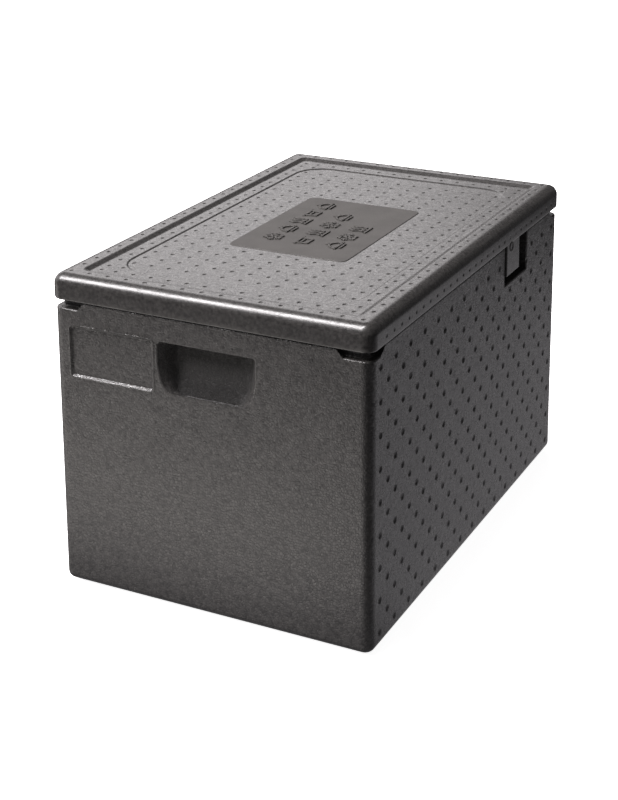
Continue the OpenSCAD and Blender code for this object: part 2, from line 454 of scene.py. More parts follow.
def new_piece(name, bm, material):
    """Object from a bmesh, with doubles merged and its faces turned outwards."""
    bmesh.ops.remove_doubles(bm, verts=bm.verts[:], dist=0.002 * MM)
    bmesh.ops.recalc_face_normals(bm, faces=bm.faces[:])
    shape = bpy.data.meshes.new(name)
    bm.to_mesh(shape)
    bm.free()
    piece = bpy.data.objects.new(name, shape)
    bpy.context.scene.collection.objects.link(piece)
    if material:
        shape.materials.append(material)
    return piece


def combine(piece, tool, operation):
    """Cuts a tool out of a piece, joins it to the piece, or keeps what both hold. The tool is used up."""
    change = piece.modifiers.new("Combine", "BOOLEAN")
    change.operation = operation
    change.solver = "EXACT"
    change.object = tool
    held = piece.data
    graph = bpy.context.evaluated_depsgraph_get()
    piece.data = bpy.data.meshes.new_from_object(piece.evaluated_get(graph))
    piece.modifiers.clear()
    bpy.data.meshes.remove(held)
    bpy.data.objects.remove(tool)
    if not piece.data.polygons:
        raise RuntimeError(f"{piece.name} lost its shape when a tool was combined with it")


def smooth(piece, angle=34):
    """Smooth shading that keeps flats flat and true edges sharp."""
    piece.data.shade_smooth()
    piece.data.set_sharp_from_angle(angle=math.radians(angle))
    weighted = piece.modifiers.new("Weighted normals", "WEIGHTED_NORMAL")
    weighted.mode = "FACE_AREA"
    weighted.weight = 90
    weighted.keep_sharp = True


def seam_height(sizes):
    """Height of the seam between the body and the lid."""
    return BODY_HIGH.z - sizes.tongue


def body_shell(bm, sizes):
    """The body's closed shell: foot, walls, shoulder, tongue and cavity."""
    width = BODY_HIGH.x - BODY_LOW.x
    deep = BODY_HIGH.y - BODY_LOW.y
    seam = seam_height(sizes)
    top = BODY_HIGH.z
    inset = 2 * sizes.foot_in
    foot = (width - inset, deep - inset, 3.5 * MM)
    outside = (width, deep, sizes.corner)
    tongue = (width - 2 * sizes.shoulder, deep - 2 * sizes.shoulder, sizes.tongue_corner)
    cavity = (width - 2 * sizes.wall, deep - 2 * sizes.wall, sizes.cavity_corner)
    edge = 1.5 * MM
    levels = rounded(foot, 0.0, 1 * MM, -1, 1, from_flat=True, steps=2)
    levels.append((*foot, sizes.foot))
    levels += rounded(outside, sizes.foot, sizes.base_round, -1, 1, from_flat=True, steps=7)
    levels += rounded(outside, seam, sizes.rim_round, -1, -1)
    levels.append((*tongue, seam))
    levels += rounded(tongue, top, edge, -1, -1)
    levels += rounded(cavity, top, edge, 1, -1, from_flat=True)
    levels += rounded(cavity, sizes.floor, sizes.cavity_round, -1, 1, steps=7)
    loops = tower(bm, levels)
    cap(bm, loops[0])
    cap(bm, loops[-1])


def side_dent_places(sizes, sizes_dent):
    """Centres of the dents in a long side, as (along the wall, height)."""
    seam = seam_height(sizes)
    half = (BODY_HIGH.y - BODY_LOW.y) / 2
    places = []
    for row in range(sizes_dent.side_rows):
        height = seam - sizes_dent.side_first - row * sizes_dent.side_row
        odd = row % 2
        count = 15 - odd
        start = -(count - 1) / 2 * sizes_dent.side_pitch
        for column in range(count):
            along = start + column * sizes_dent.side_pitch
            margin = sizes_dent.side_radius + sizes.corner
            in_slot = sizes.slot_from - 2 * MM < along < sizes.slot_from + sizes.slot_length - 1 * MM
            if abs(along) > half - margin or (in_slot and height > seam - sizes.slot_drop - 2 * MM):
                continue
            places.append((along, height))
    return places


def slot_tool(sizes):
    """Cutter for a tab slot in the +X side, flared where it meets the outer face."""
    bm = bmesh.new()
    seam = seam_height(sizes)
    reach = BODY_HIGH.x
    tall = sizes.slot_drop + sizes.tongue + 20 * MM
    middle = (sizes.slot_from + sizes.slot_length / 2, seam - sizes.slot_drop + tall / 2)
    corner = 1.5 * MM
    levels = [(sizes.slot_length, tall, corner, reach - sizes.slot_depth)]
    for step in range(5):
        angle = math.radians(84) * step / 4
        grow = sizes.lip * (1 - math.cos(angle))
        out = reach - sizes.lip * (1 - math.sin(angle))
        levels.append((sizes.slot_length + 2 * grow, tall + 2 * grow, corner + grow, out))
    levels.append((*levels[-1][:3], reach + 5 * MM))
    loops = tower(bm, levels)
    cap(bm, loops[0])
    cap(bm, loops[-1])
    stand = Matrix(((0, 0, 1, 0), (1, 0, 0, middle[0]), (0, 1, 0, middle[1]), (0, 0, 0, 1)))
    bmesh.ops.transform(bm, matrix=stand, verts=bm.verts[:])
    both_sides(bm)
    return new_piece("slot_tool", bm, None)


def half_turn(bm, made):
    """Turns what was just made half a turn about the upright axis."""
    bmesh.ops.rotate(bm, matrix=Matrix.Rotation(math.pi, 3, "Z"), verts=only(bmesh.types.BMVert, made))


def both_sides(bm):
    """Adds a copy of everything, half a turn round."""
    made = bmesh.ops.duplicate(bm, geom=bm.verts[:] + bm.edges[:] + bm.faces[:])["geom"]
    half_turn(bm, made)


def notch_tool(sizes):
    """Cutter for the finger notches: a frame around the tongue, kept only at its four corners."""
    bm = bmesh.new()
    seam = seam_height(sizes)
    width = BODY_HIGH.x - BODY_LOW.x
    deep = BODY_HIGH.y - BODY_LOW.y
    floor = seam - sizes.notch
    high = seam + 4 * MM
    levels = []
    for step in range(5):
        angle = math.radians(8 + 82 * step / 4)
        inset = sizes.lip * (1 - math.cos(angle))
        below = floor - sizes.lip * (1 - math.sin(angle))
        levels.append((width - 2 * inset, deep - 2 * inset, sizes.corner - inset, below))
    tongue = (width - 2 * sizes.shoulder, deep - 2 * sizes.shoulder, sizes.tongue_corner)
    root = 2 * MM
    levels += rounded(tongue, floor, root, 1, 1, from_flat=True, steps=3)
    bite = 0.2 * MM
    levels[-1] = (tongue[0] - bite, tongue[1] - bite, tongue[2] - bite / 2, levels[-1][3])
    levels.append((*levels[-1][:3], high))
    margin = 60 * MM
    levels.append((width + margin, deep + margin, sizes.corner, high))
    levels.append((width + margin, deep + margin, sizes.corner, levels[0][3]))
    tower(bm, levels, closed=True)
    frame_tool = new_piece("notch_tool", bm, None)
    bm = bmesh.new()
    low = levels[0][3] - 5 * MM
    top = high + 5 * MM
    end_rate = sizes.notch_end_slope / sizes.notch
    side_rate = sizes.notch_side_slope / sizes.notch
    for sign_x in (-1, 1):
        for sign_y in (-1, 1):
            verts = bmesh.ops.create_cube(bm, size=1.0)["verts"]
            for vert in verts:
                level = top if vert.co.z > 0 else low
                inner_x = width / 2 - sizes.notch_end - end_rate * (level - floor)
                inner_y = deep / 2 - sizes.notch_side - side_rate * (level - floor)
                outer = 10 * MM
                vert.co.x = sign_x * (width / 2 + outer if vert.co.x > 0 else inner_x)
                vert.co.y = sign_y * (deep / 2 + outer if vert.co.y > 0 else inner_y)
                vert.co.z = level
    corners = new_piece("notch_corners", bm, None)
    combine(frame_tool, corners, "INTERSECT")
    return frame_tool


def make_body(scene):
    """The body in full detail."""
    sizes = scene.carrier_body
    ends = scene.carrier_ends
    spots = scene.carrier_dents
    bm = bmesh.new()
    body_shell(bm, sizes)
    seam = seam_height(sizes)
    half_width = BODY_HIGH.x
    half_deep = BODY_HIGH.y
    for turn in (0.0, math.pi):
        holes = []
        across = -half_width + ends.label_in + ends.label_width / 2
        height = seam - ends.drop
        put = wall_place(turn, half_deep, height)
        holes += label_recess(bm, ends, put @ Matrix.Translation((across, -ends.label_height / 2, 0.0)))
        holes += grip_pocket(bm, ends, sizes.lip, put)
        face = flat_side(bm, 1, -1 if turn == 0.0 else 1, half_deep)
        pierce(bm, face, holes)
    places = side_dent_places(sizes, spots)
    for turn in (math.pi / 2, -math.pi / 2):
        put = wall_place(turn, half_width, 0.0)
        rims = dents(bm, places, spots.side_radius, spots.side_depth, put)
        pierce(bm, flat_side(bm, 0, 1 if turn > 0 else -1, half_width), rims)
    piece = new_piece("carrier_body", bm, foam_material("body_foam", scene.carrier_foam, ends))
    combine(piece, notch_tool(sizes), "DIFFERENCE")
    combine(piece, slot_tool(sizes), "DIFFERENCE")
    smooth(piece)
    return piece


def lid_levels(lid, sizes):
    """Levels of the lid's closed shell from its plug's underside round to its centre field."""
    width = LID_HIGH.x - LID_LOW.x
    deep = LID_HIGH.y - LID_LOW.y
    body = (BODY_HIGH.x - BODY_LOW.x, BODY_HIGH.y - BODY_LOW.y)
    seam = seam_height(sizes)
    top = seam + lid.thick
    groove = seam + sizes.tongue + lid.seat
    play = sizes.wall + lid.plug_play
    plug = (body[0] - 2 * play, body[1] - 2 * play, sizes.cavity_corner - lid.plug_play)
    room = sizes.shoulder - lid.seat
    inside = (body[0] - 2 * room, body[1] - 2 * room, sizes.tongue_corner + lid.seat)
    outside = (width, deep, lid.corner)
    levels = rounded(plug, groove - lid.plug, 3 * MM, -1, 1, from_flat=True)
    levels.append((*plug, groove))
    levels.append((*inside, groove))
    levels += rounded(inside, seam, 1 * MM, 1, 1, steps=2)
    levels += rounded(outside, seam, lid.low_round, -1, 1, from_flat=True)
    levels += rounded(outside, top, lid.top_round, -1, -1, steps=9)
    return levels, top


def slope_levels(outer, inner, top, low, steps):
    """Levels down a slope between two outlines, (width, length, corner), with soft ends."""
    levels = []
    for step in range(steps + 1):
        part = step / steps
        fall = 0.6 * part + 0.4 * part * part * (3 - 2 * part)
        mix = [a + (b - a) * part for a, b in zip(outer, inner)]
        levels.append((*mix, top + (low - top) * fall))
    return levels


def rim_dent_places(lid, width, deep):
    """Centres of the dents along the lid's flat rim."""
    side = width / 2 - RIM_DENT_IN
    end = deep / 2 - RIM_DENT_IN_ENDS
    places = []
    pitch = RIM_DENT_PITCH
    for step in range(-11, 11):
        places += [(sign * side, (step + 0.5) * pitch) for sign in (-1, 1)]
    pitch = side / 7.5
    for step in range(-8, 8):
        places += [((step + 0.5) * pitch, sign * end) for sign in (-1, 1)]
    return places


def lattice_places(lid, spots, width, deep):
    """Centres of the dents in the centre field, and of those on the ledge around it."""
    field = []
    ledge = []
    arc_x = width / 2 - lid.field_side - lid.field_corner
    arc_y = deep / 2 - lid.field_end - lid.field_corner
    for row in range(-11, 11):
        along = (row + 0.5) * spots.lid_along
        for column in range(-6, 7):
            across = column * spots.lid_across
            clear = 5 * MM
            if abs(across) < lid.panel_width / 2 + clear and abs(along) < lid.panel_length / 2 + clear:
                continue
            out_x = max(abs(across) - arc_x, 0.0)
            out_y = max(abs(along) - arc_y, 0.0)
            out = math.hypot(out_x, out_y)
            if out < lid.field_corner - lid.field_slope - spots.lid_radius - 0.6 * MM:
                field.append((across, along))
            elif out > lid.field_corner + spots.lid_radius + 0.6 * MM:
                ledge.append((across, along))
    side = width / 2 - LEDGE_DENT_IN
    end = deep / 2 - LEDGE_DENT_IN_ENDS
    for row in range(-11, 11):
        ledge += [(sign * side, (row + 0.5) * spots.lid_along) for sign in (-1, 1)]
    for column in range(-7, 8):
        across = column * spots.lid_across if abs(column) < 7 else math.copysign(side, column)
        ledge += [(across, sign * end) for sign in (-1, 1)]
    return field, ledge


def tab_tool(lid, sizes):
    """The two tabs that hang from the lid's long sides."""
    bm = bmesh.new()
    seam = seam_height(sizes)
    thick = sizes.shoulder + (LID_HIGH.x - BODY_HIGH.x) - lid.seat
    high = seam + 11 * MM
    low = seam - lid.tab_drop
    verts = bmesh.ops.create_cube(bm, size=1.0)["verts"]
    bmesh.ops.scale(bm, vec=(thick, lid.tab_length, high - low), verts=verts)
    along = sizes.slot_from + lid.tab_play + lid.tab_length / 2
    middle = (LID_HIGH.x - thick / 2, along, (high + low) / 2)
    bmesh.ops.translate(bm, vec=middle, verts=verts)
    proud = 0.04 * MM
    for vert in verts:
        outer = vert.co.x > middle[0]
        if outer:
            vert.co.x += -0.3 * MM if vert.co.z > seam else proud
    edges = [
        edge
        for edge in bm.edges
        if max(v.co.x for v in edge.verts) > middle[0] and min(v.co.z for v in edge.verts) < seam
    ]
    bevel(bm, edges, 1.6 * MM, 4, clamp_overlap=True)
    both_sides(bm)
    return new_piece("tab_tool", bm, None)


def make_lid(scene):
    """The lid in full detail."""
    sizes = scene.carrier_body
    lid = scene.carrier_lid
    spots = scene.carrier_dents
    width = LID_HIGH.x - LID_LOW.x
    deep = LID_HIGH.y - LID_LOW.y
    bm = bmesh.new()
    levels, top = lid_levels(lid, sizes)
    shell = tower(bm, levels)
    cap(bm, shell[0])
    up = Vector((0.0, 0.0, 1.0))

    rim = 2 * lid.rim
    slope = 2 * lid.recess_slope
    ledge_z = top - lid.recess
    field_z = ledge_z - lid.field_drop
    outer = (width - rim, deep - rim, lid.recess_corner)
    inner = (width - rim - slope, deep - rim - slope, 1.6 * MM)
    recess = tower(bm, slope_levels(outer, inner, top, ledge_z, 7))
    outer = (width - 2 * lid.field_side, deep - 2 * lid.field_end, lid.field_corner)
    inner = [size - 2 * lid.field_slope for size in outer[:2]] + [lid.field_corner - lid.field_slope]
    field = tower(bm, slope_levels(outer, inner, ledge_z, field_z, 5))
    outer = (lid.panel_width, lid.panel_length, lid.panel_corner)
    inner = (outer[0] - 1.8 * MM, outer[1] - 1.8 * MM, outer[2] - 0.9 * MM)
    panel = tower(bm, slope_levels(outer, inner, field_z, field_z + lid.panel_rise, 4))
    panel_faces = cap(bm, panel[-1])
    for loop in panel[1:]:
        panel_faces += [face for edge in loop for face in edge.link_faces]

    in_field, in_ledge = lattice_places(lid, spots, width, deep)
    rims = {}
    for name, places, height in (
        ("rim", rim_dent_places(lid, width, deep), top),
        ("ledge", in_ledge, ledge_z),
        ("field", in_field, field_z),
    ):
        rims[name] = dents(
            bm, places, spots.lid_radius, spots.lid_depth, Matrix.Translation((0.0, 0.0, height))
        )
    fill(bm, shell[-1] + recess[0] + rims["rim"], up)
    fill(bm, recess[-1] + field[0] + rims["ledge"], up)
    fill(bm, field[-1] + panel[0] + rims["field"], up)

    seam = seam_height(sizes)
    band = seam + (lid.thick - lid.top_round + lid.low_round) / 2
    along = [((step + 0.5) * BAND_DENT_PITCH, band) for step in range(-14, 14)]
    for turn in (math.pi / 2, -math.pi / 2):
        put = wall_place(turn, width / 2, 0.0)
        rings = dents(bm, along, spots.band_radius, spots.band_depth, put)
        pierce(bm, flat_side(bm, 0, 1 if turn > 0 else -1, width / 2), rings)
    for face in set(panel_faces):
        face.material_index = 1
    piece = new_piece("carrier_lid", bm, foam_material("lid_foam", scene.carrier_foam))
    piece.data.materials.append(panel_material(scene.carrier_foam))
    combine(piece, tab_tool(lid, sizes), "UNION")
    smooth(piece)
    return piece


def add(tree, kind, inputs=(), **settings):
    """Adds a node. inputs holds (socket, value or output) pairs."""
    node = tree.nodes.new(kind)
    for name, value in settings.items():
        setattr(node, name, value)
    for name, value in inputs:
        if isinstance(value, bpy.types.NodeSocket):
            tree.links.new(value, node.inputs[name])
        else:
            node.inputs[name].default_value = value
    return node


def maths(tree, operation, *values):
    """Output of one sum on numbers or outputs."""
    return add(tree, "ShaderNodeMath", enumerate(values), operation=operation).outputs[0]


def noise(tree, place, scale, detail, roughness=0.5, output="Fac"):
    """Output of a cloudy noise."""
    pairs = [("Vector", place), ("Scale", scale), ("Detail", detail), ("Roughness", roughness)]
    return add(tree, "ShaderNodeTexNoise", pairs).outputs[output]


def vector_maths(tree, operation, *values):
    """Node for one sum on vectors."""
    return add(tree, "ShaderNodeVectorMath", enumerate(values), operation=operation)


def ramp_between(tree, value, low, high, to_low=0.0, to_high=1.0):
    """Value mapped smoothly from one span to another, and held at its ends."""
    names = ("Value", "From Min", "From Max", "To Min", "To Max")
    pairs = zip(names, (value, low, high, to_low, to_high))
    return add(tree, "ShaderNodeMapRange", pairs, interpolation_type="SMOOTHSTEP").outputs["Result"]


def blend_colours(tree, factor, first, second):
    """Mix of two colours, each a tuple or an output."""
    node = add(tree, "ShaderNodeMix", data_type="RGBA")
    for index, value in ((0, factor), (6, first), (7, second)):
        if isinstance(value, bpy.types.NodeSocket):
            tree.links.new(value, node.inputs[index])
        elif index:
            node.inputs[index].default_value = (*value, 1.0)
        else:
            node.inputs[index].default_value = value
    return node.outputs[2]


def snowflake():
    """Strokes of a snowflake in a square from -1 to 1."""
    strokes = []
    for step in range(6):
        way = Vector((math.cos(step * math.pi / 3), math.sin(step * math.pi / 3)))
        side = Vector((-way.y, way.x))
        strokes.append(((0.0, 0.0), tuple(way * 0.95)))
        strokes += [(tuple(way * 0.5), tuple(way * 0.78 + side * 0.26 * sign)) for sign in (-1, 1)]
    return strokes


def steam():
    """Strokes of three curls of steam over a line."""
    strokes = [((-0.8, -0.85), (0.8, -0.85))]
    for across in (-0.55, 0.0, 0.55):
        strokes.append(((across, -0.5), (across + 0.16, -0.1)))
        strokes.append(((across + 0.16, -0.1), (across - 0.1, 0.4)))
        strokes.append(((across - 0.1, 0.4), (across + 0.08, 0.85)))
    return strokes


def covered_dish():
    """Strokes of a dish under a dome."""
    angles = [step * math.pi / 6 for step in range(7)]
    points = [(0.85 * math.cos(angle), 0.95 * math.sin(angle) - 0.4) for angle in angles]
    strokes = list(zip(points, points[1:]))
    strokes += [((-1.0, -0.4), (1.0, -0.4)), ((-0.6, -0.75), (0.6, -0.75)), ((0.0, 0.55), (0.0, 0.85))]
    return strokes


def deep_pan():
    """Strokes of a deep pan with a rim."""
    return [
        ((-1.0, 0.5), (1.0, 0.5)),
        ((-0.75, 0.5), (-0.6, -0.6)),
        ((-0.6, -0.6), (0.6, -0.6)),
        ((0.6, -0.6), (0.75, 0.5)),
        ((-0.4, 0.1), (0.4, 0.1)),
    ]


def make_marks(scene):
    """Raised pictograms on the lid's panel: cold, hot, served and packed food."""
    lid = scene.carrier_lid
    sizes = scene.carrier_body
    seam = seam_height(sizes)
    ground = seam + lid.thick - lid.recess - lid.field_drop + lid.panel_rise
    rows = (
        (snowflake, covered_dish, steam, deep_pan, covered_dish),
        (deep_pan, steam, snowflake, covered_dish),
        (covered_dish, snowflake, steam),
    )
    bm = bmesh.new()
    for row, signs in enumerate(rows):
        for place, sign in enumerate(signs):
            middle = Vector(((row - 1) * MARK_ROW, (place - 2) * MARK_PLACE + MARK_SHIFT))
            for start, end in sign():
                first = Vector((-start[1], start[0])) * MARK_SIZE
                second = Vector((-end[1], end[0])) * MARK_SIZE
                way = second - first
                known = set(bm.verts)
                bmesh.ops.create_cube(bm, size=1.0)
                verts = stray(bm, known)
                long = way.length + 0.5 * lid.mark_line
                tall = lid.mark_rise + 0.4 * MM
                bmesh.ops.scale(bm, vec=(long, lid.mark_line, tall), verts=verts)
                edges = {edge for vert in verts for edge in vert.link_edges}
                upper = [edge for edge in edges if min(vert.co.z for vert in edge.verts) > 0]
                bevel(bm, upper, 0.55 * MM, 2)
                verts = stray(bm, known)
                turn = Matrix.Rotation(math.atan2(way.y, way.x), 3, "Z")
                bmesh.ops.rotate(bm, matrix=turn, verts=verts)
                centre = middle + (first + second) / 2
                low = ground - 0.4 * MM + tall / 2
                bmesh.ops.translate(bm, vec=(centre.x, centre.y, low), verts=verts)
    known = set(bm.verts)
    tower(
        bm,
        [
            (2 * radius, 2 * radius, radius * 0.995, height)
            for radius, height in (
                (6.4 * MM, -0.6 * MM),
                (6.2 * MM, 0.3 * MM),
                (5.9 * MM, 0.45 * MM),
                (4.9 * MM, 0.45 * MM),
                (4.6 * MM, 0.3 * MM),
                (4.4 * MM, -0.6 * MM),
            )
        ],
        closed=True,
    )
    middle = sizes.slot_from + lid.tab_play + lid.mark_place
    put = wall_place(math.pi / 2, LID_HIGH.x, seam - 4 * MM) @ Matrix.Translation((middle, 0.0, 0.0))
    bmesh.ops.transform(bm, matrix=put, verts=stray(bm, known))
    ring = [face for face in bm.faces if not known.intersection(face.verts)]
    half_turn(bm, bmesh.ops.duplicate(bm, geom=ring)["geom"])
    piece = new_piece("lid_marks", bm, panel_material(scene.carrier_foam))
    smooth(piece)
    return piece


def start_material(name):
    """Empty node material with a principled shader. Returns it, its tree, its shader and coordinates."""
    material = bpy.data.materials.new(name)
    material.use_nodes = True
    tree = material.node_tree
    tree.nodes.clear()
    shader = add(tree, "ShaderNodeBsdfPrincipled")
    finish = add(tree, "ShaderNodeOutputMaterial")
    tree.links.new(shader.outputs["BSDF"], finish.inputs["Surface"])
    place = add(tree, "ShaderNodeTexCoord").outputs["Object"]
    return material, tree, shader, place


def edge_nearness(tree, place, low, high):
    """1 where a point is near one of a box's edges, and 0 elsewhere."""
    middle = (low + high) / 2
    half = (high - low) / 2
    split = add(tree, "ShaderNodeSeparateXYZ", [("Vector", place)])
    gaps = []
    for axis in range(3):
        moved = maths(tree, "SUBTRACT", split.outputs[axis], middle[axis])
        away = maths(tree, "ABSOLUTE", moved)
        gaps.append(maths(tree, "SUBTRACT", half[axis], away))
    least = maths(tree, "MINIMUM", gaps[0], gaps[1])
    most = maths(tree, "MAXIMUM", gaps[0], gaps[1])
    second = maths(tree, "MAXIMUM", least, maths(tree, "MINIMUM", most, gaps[2]))
    return ramp_between(tree, second, 0.0015, 0.0065, 1.0, 0.0)


def pocket_shade_mask(tree, place, ends):
    """1 inside the grip pockets and 0 elsewhere: the mask for the shade painted into them."""
    split = add(tree, "ShaderNodeSeparateXYZ", [("Vector", place)])
    deep = maths(tree, "ABSOLUTE", split.outputs[1])
    inside = ramp_between(tree, deep, BODY_HIGH.y - 0.0050, BODY_HIGH.y - 0.0130)
    reached = ramp_between(tree, deep, BODY_HIGH.y - 0.0265, BODY_HIGH.y - 0.0255)
    across = maths(tree, "ABSOLUTE", split.outputs[0])
    half = ends.grip_width / 2
    between = ramp_between(tree, across, half + 0.003, half + 0.002)
    above = ramp_between(tree, split.outputs[2], 0.150, 0.160)
    return maths(
        tree, "MULTIPLY", maths(tree, "MULTIPLY", inside, reached), maths(tree, "MULTIPLY", between, above)
    )


def foam_material(name, foam, ends=None):
    """Moulded bead foam: uneven beads with fine dark seams, a faint gloss and rubbed edges, with painted
    glints and painted shade inside the grip pockets.
    """
    is_lid = ends is None
    material, tree, shader, place = start_material(name)
    drift = noise(tree, place, 190.0, 2.0, output="Color")
    centred = vector_maths(tree, "SUBTRACT", drift, (0.5,) * 3).outputs[0]
    pushed = vector_maths(tree, "MULTIPLY_ADD", centred, (0.0022,) * 3, place).outputs[0]
    beads = [("Vector", pushed), ("Scale", 1.0 / foam.bead)]
    cells = add(tree, "ShaderNodeTexVoronoi", beads, feature="F1")
    seams = add(tree, "ShaderNodeTexVoronoi", beads, feature="DISTANCE_TO_EDGE").outputs["Distance"]
    tint = add(tree, "ShaderNodeSeparateColor", [("Color", cells.outputs["Color"])])
    cloud = noise(tree, place, 14.0, 4.0, 0.6)
    grain = noise(tree, place, 1500.0, 3.0, 0.7)
    speck = noise(tree, place, 520.0, 3.0, 0.75)
    blotch = noise(tree, pushed, 230.0, 2.5, 0.55)
    bead_mix = maths(tree, "MULTIPLY_ADD", tint.outputs[0], 0.5, maths(tree, "MULTIPLY", cloud, 0.3))
    bead_mix = maths(tree, "MULTIPLY_ADD", ramp_between(tree, blotch, 0.40, 0.55), 0.6, bead_mix)
    bead_mix = maths(tree, "MULTIPLY", bead_mix, 0.84)
    lightness = ramp_between(tree, bead_mix, 0.1, 0.95)
    base = blend_colours(tree, lightness, tuple(foam.dark), tuple(foam.light))
    # Painted shade: the grip pockets' insides are darkened towards the seam colour, where the recess would
    # lie in shade.
    inside = 0.0 if is_lid else pocket_shade_mask(tree, place, ends)
    base = blend_colours(tree, maths(tree, "MULTIPLY", inside, 0.65), base, tuple(foam.seam))
    # Painted glints: bright specks painted into the base colour, standing in for beads that catch the
    # light.
    pale = tuple(min(1.0, value * 4.2) for value in foam.light)
    painted_glint = maths(tree, "MULTIPLY", ramp_between(tree, speck, 0.63, 0.72), 0.4 if is_lid else 0.7)
    base = blend_colours(tree, painted_glint, base, pale)
    pits = maths(tree, "MULTIPLY", ramp_between(tree, speck, 0.38, 0.28), 0.5 if is_lid else 0.8)
    base = blend_colours(tree, pits, base, tuple(foam.seam))
    gap = ramp_between(tree, seams, 0.015, 0.085, 0.75, 0.0)
    base = blend_colours(tree, gap, base, tuple(foam.seam))
    low, high = (LID_LOW.copy(), LID_HIGH) if is_lid else (BODY_LOW, BODY_HIGH.copy())
    if is_lid:
        low.z = high.z - 0.030
    else:
        high.z -= 0.012
    near = edge_nearness(tree, place, low, high)
    patchy = ramp_between(tree, cloud, 0.42, 0.66)
    worn = maths(tree, "MULTIPLY", near, maths(tree, "MULTIPLY_ADD", patchy, 0.5, 0.12))
    base = blend_colours(tree, worn, base, tuple(foam.worn))
    tree.links.new(base, shader.inputs["Base Color"])

    spread, least = (0.07, foam.roughness - 0.02) if is_lid else (0.12, foam.roughness)
    rough = maths(tree, "MULTIPLY_ADD", tint.outputs[1], spread, least)
    rough = maths(tree, "MULTIPLY_ADD", inside, 0.25, rough)
    rough = maths(tree, "MULTIPLY_ADD", gap, 0.12 if is_lid else 0.25, rough)
    rough = maths(tree, "MULTIPLY_ADD", grain, 0.10, rough)
    rough = maths(tree, "MULTIPLY_ADD", worn, -0.12, rough)
    tree.links.new(rough, shader.inputs["Roughness"])

    lean = vector_maths(tree, "SUBTRACT", cells.outputs["Color"], (0.5,) * 3).outputs[0]
    true_normal = add(tree, "ShaderNodeNewGeometry").outputs["Normal"]
    tilt = (foam.tilt * (0.2 if is_lid else 1.4),) * 3
    facing = vector_maths(tree, "MULTIPLY_ADD", lean, tilt, true_normal).outputs[0]
    facing = vector_maths(tree, "NORMALIZE", facing).outputs[0]
    crown = ramp_between(tree, seams, 0.0, 0.22)
    height = maths(tree, "MULTIPLY", crown, 0.00016)
    height = maths(tree, "MULTIPLY_ADD", ramp_between(tree, speck, 0.28, 0.42), 0.00010, height)
    height = maths(tree, "MULTIPLY_ADD", grain, 0.00006, height)
    height = maths(tree, "MULTIPLY_ADD", cloud, 0.0009, height)
    strength = 0.10 if is_lid else 0.85
    relief = [("Height", height), ("Normal", facing), ("Strength", strength), ("Distance", 1.0)]
    bump = add(tree, "ShaderNodeBump", relief).outputs["Normal"]
    tree.links.new(bump, shader.inputs["Normal"])
    shader.inputs["IOR"].default_value = 1.5
    return material


def panel_material(foam):
    """The lid's smooth moulded panel: finer, duller and browner than the beads around it."""
    material, tree, shader, place = start_material("lid_panel")
    cloud = noise(tree, place, 30.0, 5.0, 0.6)
    grain = noise(tree, place, 1900.0, 3.0, 0.7)
    pale = tuple(min(1.0, value * 1.25) for value in foam.panel)
    base = blend_colours(tree, ramp_between(tree, cloud, 0.3, 0.7), tuple(foam.panel), pale)
    tree.links.new(base, shader.inputs["Base Color"])
    rough = maths(tree, "MULTIPLY_ADD", grain, 0.2, 0.62)
    tree.links.new(rough, shader.inputs["Roughness"])
    height = maths(tree, "MULTIPLY", grain, 0.00009)
    relief = [("Height", height), ("Strength", 0.8), ("Distance", 1.0)]
    bump = add(tree, "ShaderNodeBump", relief).outputs["Normal"]
    tree.links.new(bump, shader.inputs["Normal"])
    return material


def light_panel(tree, view, turn, rise, wide, tall, strength):
    """Soft rectangular light, with all angles in degrees.

    turn is from the front towards the left, and rise is above the horizon. wide and tall are half the
    panel's size.
    """
    turn = math.radians(turn)
    rise = math.radians(rise)
    level = math.cos(rise)
    toward = Vector((-math.sin(turn) * level, -math.cos(turn) * level, math.sin(rise)))
    across = toward.cross(Vector((0.0, 0.0, 1.0))).normalized()
    parts = [
        vector_maths(tree, "DOT_PRODUCT", view, tuple(axis)).outputs["Value"]
        for axis in (toward, across, across.cross(toward))
    ]
    ahead = maths(tree, "MAXIMUM", parts[0], 0.02)
    light = maths(tree, "MULTIPLY", ramp_between(tree, parts[0], 0.0, 0.15), strength)
    for part, half in ((parts[1], wide), (parts[2], tall)):
        out = maths(tree, "DIVIDE", maths(tree, "ABSOLUTE", part), ahead)
        reach = math.tan(math.radians(half))
        inside = ramp_between(tree, out, 0.7 * reach, 1.3 * reach, 1.0, 0.0)
        light = maths(tree, "MULTIPLY", light, inside)
    return light


